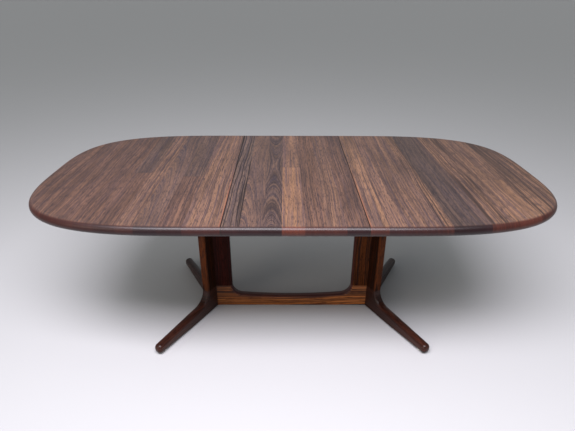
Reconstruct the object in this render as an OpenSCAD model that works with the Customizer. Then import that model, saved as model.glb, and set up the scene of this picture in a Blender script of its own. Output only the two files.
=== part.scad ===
// Extension dining table. Two half tops slide on hidden runners, a loose leaf fills the
// middle, and two three-armed pedestals stand on splayed feet, joined by a U-shaped frame.
// The origin is on the floor at the middle of the table: X along the table, Y across it.

/* [Table top] */
// Height of the top surface above the floor
table_h = 720; // [600:5:864]
// Width of the top across the table
top_w = 1050; // [860:5:1260]
// Length of the top with the leaf in place
top_len = 2070; // [1800:5:2500]
// Length that the loose leaf adds
leaf_len = 500; // [400:5:600]
// Thickness of the top, whose edge is a full half round
top_t = 38; // [28:1:46]
// Straight stretch of each side between the seam and the start of the rounded end
seam_to_curve = 27; // [10:1:80]
// Squareness of the rounded ends: 2 is an ellipse and higher is squarer
end_power = 3.3; // [2.4:0.1:4.5]
// Gap at each seam between the leaf and a half top
seam_gap = 0.4; // [0.3:0.1:1]

/* [Pedestals] */
// Distance between the centres of the two pedestals
pedestal_spacing = 761; // [640:1:900]
// Thickness of the posts, the feet and the U frame
member_t = 40; // [34:1:48]
// Pedestal centre to the outer face of a leg post
post_reach = 72; // [60:1:90]
// Corner radius on the outer edge of a leg post
post_round = 9; // [2:1:14]
// Pedestal centre to the inner edge of an upright
upright_reach = 88; // [74:1:110]
// Corner radius on the inner edge of an upright
upright_round = 13; // [2:1:16]
// Pedestal centre to the tip of a foot
foot_reach = 414; // [340:1:500]
// Height of a foot where it meets the post, before the curve
foot_root_h = 63; // [54:1:76]
// Height of a foot at its tip
foot_tip_h = 43; // [36:1:52]
// Radius of the curve between a post and its foot
knee_r = 60; // [40:1:75]
// Roundness of the nose of a foot, seen from the side
nose_r = 18; // [8:1:21]
// Height of the stretcher at the middle of the table
stretcher_h = 52; // [44:1:64]
// Radius of the long hollow along the top of the stretcher
sag_r = 2550; // [2100:10:4000]
// Radius of the curve between the stretcher and an upright
corner_r = 55; // [40:1:70]

/* [Glides] */
// Thickness of the glides, which lift the feet and the stretcher off the floor
glide_t = 5; // [3:1:8]
// Diameter of a glide
glide_d = 24; // [16:1:30]
// Distance from the tip of a foot to the centre of its glide
glide_inset = 42; // [26:1:60]

/* [Rails and runners] */
// Distance between the centre lines of the two fixed rails
rail_spacing = 500; // [420:5:600]
// Width of a fixed rail and of a runner
rail_w = 40; // [34:1:48]
// Height of a fixed rail
rail_h = 45; // [38:1:54]
// Length of a rail past the centre of each pedestal
rail_overhang = 120; // [90:1:160]
// Length of a runner under its own half top, from the seam outwards
runner_out = 500; // [400:5:600]
// Length of a runner past the seam, towards the middle and beyond
runner_in = 350; // [300:5:380]
// Height of the tongue that runs in a rail's groove
tongue_h = 12; // [10:1:15]
// Depth of that tongue
tongue_d = 8; // [6:1:9]
// Distance that each half top can be pulled outwards, away from the leaf
pull_out = 250; // [200:5:270]
// Thickness of a bearer, the cross piece on top of a pedestal
bearer_t = 40; // [32:1:48]
// Width of a bearer along the table
bearer_w = 120; // [100:1:144]
// Length of a bearer past the outer lane
bearer_end = 20; // [10:1:30]
// Length of the sloping underside at each end of a bearer
bearer_slope = 60; // [40:1:80]

/* [Battens, cleats and stops] */
// Distance from the seam to the centre line of an end batten
batten_place = 570; // [520:5:640]
// Width of an end batten
batten_w = 60; // [48:1:72]
// Thickness of the end battens and the leaf cleats
batten_t = 25; // [20:1:30]
// Distance from the end of a batten to the edge of the top
batten_inset = 75; // [60:1:100]
// Distance between the centre lines of the two leaf cleats
cleat_spacing = 300; // [250:5:320]
// Width of a leaf cleat
cleat_w = 50; // [40:1:60]
// Length of a stop block along its runner
stop_len = 30; // [24:1:40]
// Drop of a stop block below its runner
stop_drop = 18; // [14:1:24]

/* [Fasteners] */
// Diameter of the dowels in the glued joints
dowel_d = 10; // [8:1:12]
// Depth that a dowel goes into each piece
dowel_depth = 34; // [26:1:38]
// Distance between the two dowels of one joint
dowel_spacing = 26; // [22:1:30]
// Diameter of the screws that hold the wood parts under the top
screw_d = 4.5; // [3.5:0.5:6]
// Depth that a screw goes into the top
screw_bite = 22; // [14:1:24]
// Diameter of the bolts in the bearers
bolt_d = 8; // [6:1:10]
// Depth that a bearer bolt goes into the end of a post or upright
bolt_bite = 60; // [45:1:80]
// Depth that a rail bolt goes into a rail
rail_bite = 28; // [20:1:34]

/* [Clearances] */
// Gap between a runner and the rail beside it
lane_gap = 0.5; // [0.4:0.1:1]
// Gap above and below a tongue in its groove
groove_gap = 0.4; // [0.3:0.1:1]
// Gap between the underside of the top and the rails, and between it and any runner
// of the other half that passes below
rail_top_gap = 1; // [0.5:0.1:2]
// Gap between a runner and the bearer that it passes over
runner_lift = 2; // [1:0.5:4]
// Gap between the end of a leaf cleat and the runner beside it
cleat_gap = 1; // [0.5:0.1:3]
// Gap between a stop block and the bearer when a half top is fully out
stop_gap = 1; // [0.5:0.1:3]
// Gap all round a dowel, screw or bolt in its hole
hole_gap = 0.1; // [0.05:0.05:0.3]

/* [Hidden] */
$fn = 48;
eps = 1;                                   // how far a cutting shape runs past a face
arc_steps = 12;                            // straight pieces in a rounded edge
end_steps = 72;                            // straight pieces round an end of the top

half_w = top_w / 2;
edge_r = top_t / 2;
under_top = table_h - top_t;
seam_x = leaf_len / 2 + seam_gap;
curve_x = seam_x + seam_to_curve;
end_len = top_len / 2 - curve_x;

axis_x = pedestal_spacing / 2;
foot_angle = 60;                           // three members share the circle evenly
mitre = member_t / 2 / tan(foot_angle);    // where the faces of two members meet
inner_x = axis_x - upright_reach;          // inner edge of an upright

rail_base = under_top - rail_top_gap - rail_h;
runner_h = rail_h + rail_top_gap - runner_lift;
bearer_base = rail_base - bearer_t;
tongue_z = rail_base + rail_h / 2;         // centre line of the tongues and grooves
rail_y = rail_spacing / 2;
inner_lane = rail_y - rail_w - lane_gap;   // centre line of an inner runner
outer_lane = rail_y + rail_w + lane_gap;   // centre line of an outer runner
bearer_len = 2 * (outer_lane + rail_w / 2 + bearer_end);

// Knee between a post and its foot, seen from the side
foot_slope = atan((foot_root_h - foot_tip_h) / (foot_reach - post_reach));
knee_s = post_reach + knee_r;
knee_z = glide_t + foot_root_h - knee_r * tan(foot_slope) + knee_r / cos(foot_slope);

// Hollow between the uprights, seen from the side
sag_z = glide_t + stretcher_h + sag_r;
corner_x = inner_x - corner_r;
corner_z = sag_z - sqrt(pow(sag_r - corner_r, 2) - pow(corner_x, 2));
corner_turn = asin(corner_x / (sag_r - corner_r));

post_mid = (mitre + post_reach) / 2;       // middle of a post's end
upright_mid = (mitre + upright_reach) / 2;

stop_out = axis_x - bearer_w / 2 - stop_gap - pull_out;   // outer face of a stop block
batten_x = seam_x + batten_place;
batten_half = outline_half(batten_x + batten_w / 2) - batten_inset;
cleat_half = inner_lane - rail_w / 2 - cleat_gap;
head_h = screw_d * 0.6;
head_sink = 12;                            // depth of the hole over a runner screw's head
runner_screws = [0.08, 0.36, 0.64, 0.92];  // places along the runner under the half top
batten_screws = [-0.85, -0.3, 0.3, 0.85];  // places along half a batten or a cleat
cleat_screws = [-0.8, 0, 0.8];

// ---------- Rules of the outline ----------

// Half width of the top at a place along the table
function outline_half(x) = x <= curve_x ? half_w
    : half_w * pow(1 - pow((x - curve_x) / end_len, end_power), 1 / end_power);

// Distance from the start of the curve to the outline, in the direction a
function end_radius(a) = pow(
    pow(abs(cos(a)) / end_len, end_power) + pow(abs(sin(a)) / half_w, end_power),
    -1 / end_power);

// Outward direction of the outline there
function end_normal(a) =
    let (nx = pow(abs(cos(a)) * end_radius(a) / end_len, end_power - 1) / end_len,
         ny = pow(abs(sin(a)) * end_radius(a) / half_w, end_power - 1) / half_w)
    [nx, sign(a) * ny] / norm([nx, ny]);

// A point of the rounded end, moved inwards by d
function end_point(a, d) =
    [curve_x, 0] + end_radius(a) * [cos(a), sin(a)] - d * end_normal(a);

// The outline of a half top, moved inwards by d except at the seam
function half_outline(d) = concat(
    [[seam_x, d - half_w]],
    [for (i = [0:end_steps]) end_point(180 * i / end_steps - 90, d)],
    [[seam_x, half_w - d]]);

// Points of an arc
function arc(c, r, from, to, steps = arc_steps) =
    [for (i = [0:steps]) let (a = from + (to - from) * i / steps) c + r * [cos(a), sin(a)]];

// ---------- Small shapes ----------

// A hole for a dowel, screw or bolt, upwards from z
module hole(d, z, depth) {
    translate([0, 0, z]) cylinder(d = d + 2 * hole_gap, h = depth);
}

// A countersunk wood screw, point up, with its head's face at z
module wood_screw(z, length) {
    translate([0, 0, z]) {
        cylinder(d1 = 2 * screw_d, d2 = screw_d, h = head_h);
        cylinder(d = screw_d, h = length);
    }
}

// The space that such a screw takes, open below
module wood_screw_hole(z, length) {
    translate([0, 0, z]) {
        cylinder(d1 = 2 * (screw_d + hole_gap), d2 = screw_d + 2 * hole_gap, h = head_h);
        cylinder(d = screw_d + 2 * hole_gap, h = length + hole_gap);
        translate([0, 0, -head_sink - eps])
            cylinder(d = 2 * (screw_d + hole_gap), h = head_sink + eps);
    }
}

// Repeats a child at each place along the runner of a half top
module at_runner_screws() {
    for (p = runner_screws) translate([seam_x + p * runner_out, 0, 0]) children();
}

// Repeats a child at both lanes of the right half top
module at_right_lanes() {
    for (y = [-inner_lane, outer_lane]) translate([0, y, 0]) children();
}

// Puts a child at each of the two pedestals, the left one turned about
module at_pedestals() {
    for (turn = [0, 180]) rotate([0, 0, turn]) translate([axis_x, 0, 0]) children();
}

// Puts a child, drawn along +X, on a leg of the right pedestal
module on_leg(side) {
    translate([axis_x, 0, 0]) rotate([0, 0, side * foot_angle]) children();
}

// ---------- Top ----------

// Slab with a full half round on every edge but the seam
module half_slab() {
    rings = [for (k = [0:arc_steps]) let (a = 180 * k / arc_steps - 90)
        [edge_r * (1 - cos(a)), under_top + edge_r + edge_r * sin(a)]];
    count = end_steps + 3;
    points = [for (ring = rings) for (p = half_outline(ring[0])) [p[0], p[1], ring[1]]];
    last = arc_steps * count;
    faces = concat(
        [[for (i = [0:count - 1]) i]],
        [for (k = [0:arc_steps - 1]) for (i = [0:count - 1]) let (j = (i + 1) % count)
            [k * count + i, (k + 1) * count + i, (k + 1) * count + j]],
        [for (k = [0:arc_steps - 1]) for (i = [0:count - 1]) let (j = (i + 1) % count)
            [k * count + i, (k + 1) * count + j, k * count + j]],
        [[for (i = [count - 1:-1:0]) last + i]]);
    polyhedron(points, faces);
}

// A half top with the pilot holes in its underside
module half_top() {
    difference() {
        half_slab();
        at_right_lanes() at_runner_screws() hole(screw_d, under_top - eps, screw_bite + eps + hole_gap);
        for (p = batten_screws) translate([batten_x, p * batten_half, 0])
            hole(screw_d, under_top - eps, screw_bite + eps + hole_gap);
    }
}

module left_half_top() { color([0.36, 0.22, 0.17]) rotate([0, 0, 180]) half_top(); }
module right_half_top() { color([0.36, 0.22, 0.17]) half_top(); }

// The loose leaf, the same section all along
module leaf() {
    color([0.42, 0.27, 0.20])
    difference() {
        translate([-leaf_len / 2, 0, under_top + edge_r]) rotate([90, 0, 90])
            linear_extrude(leaf_len) {
                square([top_w - top_t, top_t], center = true);
                for (y = [edge_r - half_w, half_w - edge_r]) translate([y, 0]) circle(edge_r);
            }
        at_cleat_screws() hole(screw_d, under_top - eps, screw_bite + eps + hole_gap);
    }
}

module at_cleat_screws() {
    for (x = [-cleat_spacing / 2, cleat_spacing / 2]) for (p = cleat_screws)
        translate([x, p * cleat_half, 0]) children();
}

// A batten across the table at x, held up against the top by countersunk screws
module cross_batten(x, w, half, places) {
    difference() {
        translate([x - w / 2, -half, under_top - batten_t]) cube([w, 2 * half, batten_t]);
        for (p = places) translate([x, p * half, 0]) wood_screw_hole(under_top - batten_t, batten_t + eps);
    }
}

module leaf_left_cleat() {
    color([0.50, 0.36, 0.24]) cross_batten(-cleat_spacing / 2, cleat_w, cleat_half, cleat_screws);
}
module leaf_right_cleat() {
    color([0.50, 0.36, 0.24]) cross_batten(cleat_spacing / 2, cleat_w, cleat_half, cleat_screws);
}
module leaf_screws() {
    color([0.70, 0.62, 0.40]) at_cleat_screws() wood_screw(under_top - batten_t, batten_t + screw_bite);
}

module end_batten() { cross_batten(batten_x, batten_w, batten_half, batten_screws); }
module left_end_batten() { color([0.50, 0.36, 0.24]) rotate([0, 0, 180]) end_batten(); }
module right_end_batten() { color([0.50, 0.36, 0.24]) end_batten(); }

// ---------- Runners and rails ----------

// A runner of the right half top at a lane; its tongue points to the rail
module runner(lane) {
    to_rail = sign(rail_y - abs(lane)) * sign(lane);
    length = runner_in + runner_out;
    difference() {
        translate([seam_x - runner_in, lane, 0]) {
            translate([0, -rail_w / 2, under_top - runner_h])
                cube([length, rail_w, runner_h - rail_top_gap]);
            translate([runner_in, -rail_w / 2, under_top - runner_h])
                cube([runner_out, rail_w, runner_h]);
            translate([0, to_rail * rail_w / 2 - tongue_d, tongue_z - tongue_h / 2])
                cube([length, 2 * tongue_d, tongue_h]);
        }
        translate([0, lane, 0]) at_runner_screws()
            wood_screw_hole(under_top - runner_h + head_sink, runner_h);
    }
}

// A block under a runner that meets the bearer when the half top is fully out
module stop_block(lane) {
    translate([stop_out - stop_len, lane - rail_w / 2, under_top - runner_h - stop_drop])
        cube([stop_len, rail_w, stop_drop]);
}

module right_front_runner() { color([0.55, 0.40, 0.26]) runner(-inner_lane); }
module right_back_runner() { color([0.55, 0.40, 0.26]) runner(outer_lane); }
module left_back_runner() { color([0.55, 0.40, 0.26]) rotate([0, 0, 180]) runner(-inner_lane); }
module left_front_runner() { color([0.55, 0.40, 0.26]) rotate([0, 0, 180]) runner(outer_lane); }

module right_front_stop() { color([0.48, 0.33, 0.20]) stop_block(-inner_lane); }
module right_back_stop() { color([0.48, 0.33, 0.20]) stop_block(outer_lane); }
module left_back_stop() { color([0.48, 0.33, 0.20]) rotate([0, 0, 180]) stop_block(-inner_lane); }
module left_front_stop() { color([0.48, 0.33, 0.20]) rotate([0, 0, 180]) stop_block(outer_lane); }

module half_top_screws() {
    at_right_lanes() at_runner_screws()
        wood_screw(under_top - runner_h + head_sink, runner_h - head_sink + screw_bite);
    for (p = batten_screws) translate([batten_x, p * batten_half, 0])
        wood_screw(under_top - batten_t, batten_t + screw_bite);
}
module left_top_screws() { color([0.70, 0.62, 0.40]) rotate([0, 0, 180]) half_top_screws(); }
module right_top_screws() { color([0.70, 0.62, 0.40]) half_top_screws(); }

// A fixed rail, with a groove along each side
module rail(y) {
    half = axis_x + rail_overhang;
    groove_h = tongue_h + 2 * groove_gap;
    difference() {
        translate([-half, y - rail_w / 2, rail_base]) cube([2 * half, rail_w, rail_h]);
        for (s = [-1, 1]) translate([-half - eps, y + s * rail_w / 2 - tongue_d, tongue_z - groove_h / 2])
            cube([2 * (half + eps), 2 * tongue_d, groove_h]);
        for (x = [-axis_x, axis_x]) translate([x, y, 0])
            hole(bolt_d, rail_base - eps, rail_bite + eps + hole_gap);
    }
}
module front_rail() { color([0.52, 0.37, 0.24]) rail(-rail_y); }
module back_rail() { color([0.52, 0.37, 0.24]) rail(rail_y); }

// ---------- Pedestals ----------

// Round-headed bolt, point up from the underside of a bearer
module rail_bolt() {
    translate([0, 0, bearer_base]) {
        cylinder(d = 2 * bolt_d, h = bolt_d / 2);
        cylinder(d = bolt_d, h = bearer_t + rail_bite);
    }
}

// Bolt, point down from the top of a bearer into a post or upright
module bearer_bolt() {
    translate([0, 0, rail_base - bolt_d / 2]) cylinder(d = 2 * bolt_d, h = bolt_d / 2);
    translate([0, 0, bearer_base - bolt_bite]) cylinder(d = bolt_d, h = bearer_t + bolt_bite);
}

// Places of the three bearer bolts of the right pedestal, from its centre
module at_members() {
    for (turn = [180, -foot_angle, foot_angle]) rotate([0, 0, turn]) translate([post_mid, 0, 0]) children();
}

// Cross piece on top of the right pedestal, with sloping ends
module bearer() {
    half = bearer_len / 2;
    difference() {
        translate([axis_x + bearer_w / 2, 0, 0]) rotate([90, 0, -90]) linear_extrude(bearer_w)
            polygon([[-half, rail_base], [half, rail_base], [half, rail_base - bearer_t / 2],
                [half - bearer_slope, bearer_base], [bearer_slope - half, bearer_base],
                [-half, rail_base - bearer_t / 2]]);
        for (y = [-rail_y, rail_y]) translate([axis_x, y, 0]) {
            hole(bolt_d, bearer_base - eps, bearer_t + 2 * eps);
            hole(2 * bolt_d, bearer_base - eps, bolt_d / 2 + eps + hole_gap);
        }
        translate([axis_x, 0, 0]) at_members() {
            hole(bolt_d, bearer_base - eps, bearer_t + 2 * eps);
            hole(2 * bolt_d, rail_base - bolt_d / 2 - hole_gap, bolt_d);
        }
    }
}
module left_bearer() { color([0.34, 0.17, 0.11]) rotate([0, 0, 180]) bearer(); }
module right_bearer() { color([0.34, 0.17, 0.11]) bearer(); }
module rail_bolts() {
    color([0.60, 0.60, 0.62]) at_pedestals() for (y = [-rail_y, rail_y]) translate([0, y, 0]) rail_bolt();
}
module bearer_bolts() { color([0.60, 0.60, 0.62]) at_pedestals() at_members() bearer_bolt(); }

// Plan of a member, from the pedestal centre along +X: two mitred faces at the
// centre, where three members meet, and a rounded outer edge
module member_plan(reach, round) {
    t = member_t / 2;
    polygon([[0, 0], [mitre, -t], [reach - round, -t], [reach - round, t], [mitre, t]]);
    translate([reach - 2 * round, round - t]) square([2 * round, 2 * (t - round)]);
    for (y = [round - t, t - round]) translate([reach - round, y]) circle(round);
}

// Plan of a foot, with a half round nose
module foot_plan() {
    t = member_t / 2;
    polygon([[0, 0], [mitre, -t], [foot_reach - t, -t], [foot_reach - t, t], [mitre, t]]);
    translate([foot_reach - t, 0]) circle(t);
}

// Pair of holes for the dowels of a joint at height z, s from the pedestal centre
module dowel_holes(s, z) {
    for (d = [-dowel_spacing / 2, dowel_spacing / 2]) translate([s + d, 0, 0])
        hole(dowel_d, z - dowel_depth - hole_gap, 2 * (dowel_depth + hole_gap));
}
module dowel_pair(s, z) {
    for (d = [-dowel_spacing / 2, dowel_spacing / 2])
        translate([s + d, 0, z - dowel_depth]) cylinder(d = dowel_d, h = 2 * dowel_depth);
}

// Hole for a bearer bolt in the top end of a member
module bearer_bolt_hole() {
    translate([post_mid, 0, 0])
        hole(bolt_d, bearer_base - bolt_bite - hole_gap, bolt_bite + eps + hole_gap);
}

// Leg post, on its foot
module post(side) {
    on_leg(side) difference() {
        translate([0, 0, knee_z]) linear_extrude(bearer_base - knee_z) member_plan(post_reach, post_round);
        dowel_holes(post_mid, knee_z);
        bearer_bolt_hole();
    }
}

// Side of a foot: flat underside, rounded nose, sloping top and the knee up to the post
module foot_side() {
    tip_z = glide_t + foot_tip_h;
    polygon(concat(
        [[0, glide_t]],
        arc([foot_reach - nose_r, glide_t + nose_r], nose_r, -90, 0),
        arc([foot_reach - nose_r, tip_z - nose_r + nose_r * tan(foot_slope)], nose_r, 0, 90 - foot_slope),
        arc([knee_s, knee_z], knee_r, 270 - foot_slope, 180),
        [[0, knee_z]]));
}

// Foot, the side and the plan of one piece of wood
module foot(side) {
    on_leg(side) difference() {
        intersection() {
            rotate([90, 0, 0]) linear_extrude(member_t + 2 * eps, center = true) foot_side();
            linear_extrude(knee_z + eps) foot_plan();
        }
        dowel_holes(post_mid, knee_z);
    }
}

module left_front_post() { color([0.33, 0.15, 0.09]) rotate([0, 0, 180]) post(1); }
module left_back_post() { color([0.33, 0.15, 0.09]) rotate([0, 0, 180]) post(-1); }
module right_front_post() { color([0.33, 0.15, 0.09]) post(-1); }
module right_back_post() { color([0.33, 0.15, 0.09]) post(1); }

module left_front_foot() { color([0.25, 0.10, 0.07]) rotate([0, 0, 180]) foot(1); }
module left_back_foot() { color([0.25, 0.10, 0.07]) rotate([0, 0, 180]) foot(-1); }
module right_front_foot() { color([0.25, 0.10, 0.07]) foot(-1); }
module right_back_foot() { color([0.25, 0.10, 0.07]) foot(1); }

module foot_dowels() {
    color([0.75, 0.60, 0.42]) at_pedestals() for (side = [-1, 1]) rotate([0, 0, side * foot_angle])
        dowel_pair(post_mid, knee_z);
}

module foot_glides() {
    color([0.80, 0.80, 0.78]) at_pedestals() for (side = [-1, 1]) rotate([0, 0, side * foot_angle])
        translate([foot_reach - glide_inset, 0, 0]) cylinder(d = glide_d, h = glide_t);
}

// ---------- U frame ----------

// Upright of the right pedestal, from the stretcher's corner to the bearer
module upright() {
    translate([axis_x, 0, 0]) rotate([0, 0, 180]) difference() {
        translate([0, 0, corner_z]) linear_extrude(bearer_base - corner_z)
            member_plan(upright_reach, upright_round);
        dowel_holes(upright_mid, corner_z);
        bearer_bolt_hole();
    }
}
module left_upright() { color([0.30, 0.12, 0.08]) rotate([0, 0, 180]) upright(); }
module right_upright() { color([0.36, 0.18, 0.10]) upright(); }

// Side of the stretcher: flat below, hollow above, swept up into the uprights
module stretcher_side() {
    polygon(concat(
        [[-axis_x, corner_z], [-axis_x, glide_t], [axis_x, glide_t], [axis_x, corner_z]],
        arc([corner_x, corner_z], corner_r, 0, corner_turn - 90),
        arc([0, sag_z], sag_r, corner_turn - 90, -corner_turn - 90, 2 * arc_steps),
        arc([-corner_x, corner_z], corner_r, -corner_turn - 90, -180)));
}

// Plan of the stretcher, mitred at both pedestal centres
module stretcher_plan() {
    t = member_t / 2;
    face_x = axis_x - mitre;
    polygon([[axis_x, 0], [face_x, t], [-face_x, t], [-axis_x, 0], [-face_x, -t], [face_x, -t]]);
}

module stretcher() {
    color([0.40, 0.20, 0.11]) difference() {
        intersection() {
            rotate([90, 0, 0]) linear_extrude(member_t + 2 * eps, center = true) stretcher_side();
            linear_extrude(corner_z + eps) stretcher_plan();
        }
        for (turn = [0, 180]) rotate([0, 0, turn]) dowel_holes(axis_x - upright_mid, corner_z);
    }
}

module frame_dowels() {
    color([0.75, 0.60, 0.42]) at_pedestals() rotate([0, 0, 180]) dowel_pair(upright_mid, corner_z);
}

left_half_top();
right_half_top();
leaf();
leaf_left_cleat();
leaf_right_cleat();
leaf_screws();
left_front_runner();
left_back_runner();
right_front_runner();
right_back_runner();
left_front_stop();
left_back_stop();
right_front_stop();
right_back_stop();
left_end_batten();
right_end_batten();
left_top_screws();
right_top_screws();
front_rail();
back_rail();
left_bearer();
right_bearer();
rail_bolts();
bearer_bolts();
left_upright();
right_upright();
stretcher();
frame_dowels();
left_front_post();
left_back_post();
right_front_post();
right_back_post();
left_front_foot();
left_back_foot();
right_front_foot();
right_back_foot();
foot_dowels();
foot_glides();
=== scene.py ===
# %% [markdown]
# # An extension dining table, finished for a picture
# The frame is the engineered model of the table: every part is there at its real size and
# place. Everything below adds the look of the real wood and metal around that frame. The
# frame gives all the places, so nothing has to be fitted by eye.

# %% Load the frame
import math
import random

import bmesh
import bpy
import numpy as np
from mathutils import Matrix, Vector


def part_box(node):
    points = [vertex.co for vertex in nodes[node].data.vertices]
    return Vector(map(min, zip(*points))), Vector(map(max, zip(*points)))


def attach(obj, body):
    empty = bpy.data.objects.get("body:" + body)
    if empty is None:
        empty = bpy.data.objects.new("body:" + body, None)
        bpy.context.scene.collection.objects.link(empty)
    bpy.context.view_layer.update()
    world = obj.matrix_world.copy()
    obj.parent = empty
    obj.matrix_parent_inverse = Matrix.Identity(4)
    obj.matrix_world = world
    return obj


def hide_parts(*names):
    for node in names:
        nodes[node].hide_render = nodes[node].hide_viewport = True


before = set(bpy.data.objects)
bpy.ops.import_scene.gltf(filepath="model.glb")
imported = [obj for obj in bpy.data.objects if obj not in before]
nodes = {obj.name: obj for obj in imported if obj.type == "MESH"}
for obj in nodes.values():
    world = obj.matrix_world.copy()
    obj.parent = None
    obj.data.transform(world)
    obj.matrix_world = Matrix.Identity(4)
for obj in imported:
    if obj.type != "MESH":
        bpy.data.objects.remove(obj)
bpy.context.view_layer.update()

# %% [markdown]
# ## Measures
# Sizes that the frame shows are read from the boxes of its parts. A few can't be read from
# a box, such as the radius of a curve, and those are named here in metres.

# %% Measures from the frame
half_top_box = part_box("right_half_top")
leaf_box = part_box("leaf")
post_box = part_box("right_front_post")
upright_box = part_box("right_upright")
stretcher_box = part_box("stretcher")

thickness = leaf_box[1].z - leaf_box[0].z
half_width = leaf_box[1].y
slab_middle = (leaf_box[0].z + leaf_box[1].z) / 2
seam_x = half_top_box[0].x
tip_x = half_top_box[1].x
member = stretcher_box[1].y - stretcher_box[0].y
axis_x = stretcher_box[1].x
floor_gap = stretcher_box[0].z
inner_x = upright_box[0].x
upright_foot = upright_box[0].z
post_foot = post_box[0].z
bearer_under = post_box[1].z
mitre = member / 2 / math.tan(math.radians(60))
print("top", round(thickness, 3), "thick, pedestals", round(2 * axis_x, 3), "apart")

# %% Measures that a box doesn't show
seam_to_curve = 0.027
end_power = 3.3
post_reach = 0.072
foot_reach = 0.414
foot_root_height = 0.063
foot_tip_height = 0.043
knee_radius = 0.060
nose_radius = 0.018
sag_radius = 2.55
stretcher_height = 0.052
corner_radius = 0.055

# %% [markdown]
# ## Camera
# A camera is placed by three directions: where it looks, what is to its right and what is
# up. It stands a little left of the middle at a standing person's chest height and looks
# down at the table. Building the turn from the three directions avoids any doubt about the
# order of angles.

# %% Camera
camera_place = (-0.0371, -1.8291, 1.4342)
lens_mm, film_mm = 28.13, 36
pitch, yaw, roll = 0.4721, 0.0083, 0.0047
ahead = Vector((math.sin(yaw) * math.cos(pitch), math.cos(yaw) * math.cos(pitch), -math.sin(pitch)))
level = Vector((math.cos(yaw), -math.sin(yaw), 0))
right = level * math.cos(roll) + level.cross(ahead) * math.sin(roll)
up = right.cross(ahead)
camera = bpy.data.objects.new("camera", bpy.data.cameras.new("camera"))
camera.data.sensor_width = film_mm
camera.data.lens = lens_mm
camera.matrix_world = Matrix.Translation(camera_place) @ Matrix((right, up, -ahead)).transposed().to_4x4()
bpy.context.scene.collection.objects.link(camera)
bpy.context.scene.camera = camera
print("the camera looks down", round(math.degrees(pitch), 1), "degrees")

# %% [markdown]
# ## Small helpers for node trees
# A node tree is a recipe: each node takes values in and gives values out. These helpers add
# a node and fill its inputs in one line, where a socket is linked and a plain value is set.
# They work in shader trees and in geometry trees alike.

# %% Node helpers
def add(tree, kind, inputs=(), **settings):
    made = tree.nodes.new(kind)
    for name, value in settings.items():
        setattr(made, name, value)
    filled = inputs.items() if isinstance(inputs, dict) else enumerate(inputs)
    for key, value in filled:
        if isinstance(value, bpy.types.NodeSocket):
            tree.links.new(value, made.inputs[key])
        elif value is not None:
            made.inputs[key].default_value = value
    return made


def calc(tree, operation, *values):
    return add(tree, "ShaderNodeMath", values, operation=operation).outputs[0]


def vector_calc(tree, operation, *values):
    return add(tree, "ShaderNodeVectorMath", values, operation=operation).outputs[0]


def scaled(tree, vector, factor):
    return add(tree, "ShaderNodeVectorMath", {0: vector, 3: factor}, operation="SCALE").outputs[0]


def combined(tree, *values):
    return add(tree, "ShaderNodeCombineXYZ", values).outputs[0]


def smooth(tree, value, low, high, start=0.0, end=1.0):
    return add(tree, "ShaderNodeMapRange", {0: value, 1: low, 2: high, 3: start, 4: end},
        interpolation_type="SMOOTHSTEP").outputs[0]


def new_tree(name, kind, sockets):
    tree = bpy.data.node_groups.new(name, kind)
    for in_out, socket_kind, label in sockets:
        tree.interface.new_socket(label, in_out=in_out, socket_type="NodeSocket" + socket_kind)
    return tree, tree.nodes.new("NodeGroupInput").outputs, tree.nodes.new("NodeGroupOutput").inputs


def new_material(name):
    material = bpy.data.materials.new(name)
    material.use_nodes = True
    return material, material.node_tree, material.node_tree.nodes["Principled BSDF"]


print("helpers ready")

# %% [markdown]
# ## Studio
# The table stands on a plain pale floor under a pale sky. The top is satin, so at a low
# angle it mirrors the sky softly, and that gives the wood its cool sheen towards the back.
# A long panel above the front does most of the work, and it draws the sheen on the rounded
# edge. A wide light from above fills in, a warm one low on the left reaches the pedestals,
# and a weak cool one from behind keeps the back from going black.

# %% Floor
def plain_surface(name, colour, rough):
    material, tree, shader = new_material(name)
    shader.inputs["Base Color"].default_value = (*colour, 1)
    shader.inputs["Roughness"].default_value = rough
    return material, tree, shader


floor_half = 120
floor_corners = [(-floor_half, -floor_half, 0), (floor_half, -floor_half, 0),
    (floor_half, floor_half, 0), (-floor_half, floor_half, 0)]
floor_mesh = bpy.data.meshes.new("floor")
floor_mesh.from_pydata(floor_corners, [], [(0, 1, 2, 3)])
floor_mesh.materials.append(plain_surface("pale_floor", (0.42, 0.42, 0.425), 0.9)[0])
studio_floor = bpy.data.objects.new("studio_floor", floor_mesh)
bpy.context.scene.collection.objects.link(studio_floor)
print("the floor is", 2 * floor_half, "metres wide")

# %% Lights
def hang(name, kind, energy, colour, place, aim):
    light = bpy.data.lights.new(name, kind)
    light.energy = energy
    light.color = colour
    lamp = bpy.data.objects.new(name, light)
    lamp.location = place
    lamp.rotation_euler = (Vector(aim) - Vector(place)).to_track_quat("-Z", "Y").to_euler()
    bpy.context.scene.collection.objects.link(lamp)
    return light


floor_middle = (0, 0, 0)
front_edge = (0, -0.5, 0.7)
overhead = hang("overhead_light", "SUN", 0.57, (1.0, 0.97, 0.94), (-0.8, -1.0, 3.0), floor_middle)
overhead.angle = math.radians(75)
side_light = hang("side_light", "SUN", 0.65, (1.0, 0.90, 0.78), (-3.0, -3.2, 1.3), floor_middle)
side_light.angle = math.radians(30)
edge_light = hang("edge_light", "AREA", 260, (0.96, 0.93, 1.0), (-0.2, -1.75, 3.2), front_edge)
edge_light.shape = "RECTANGLE"
edge_light.size, edge_light.size_y = 3.0, 1.1
back_light = hang("back_light", "SUN", 0.13, (0.93, 0.96, 1.0), (1.2, 3.0, 1.6), floor_middle)
back_light.angle = math.radians(80)

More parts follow.
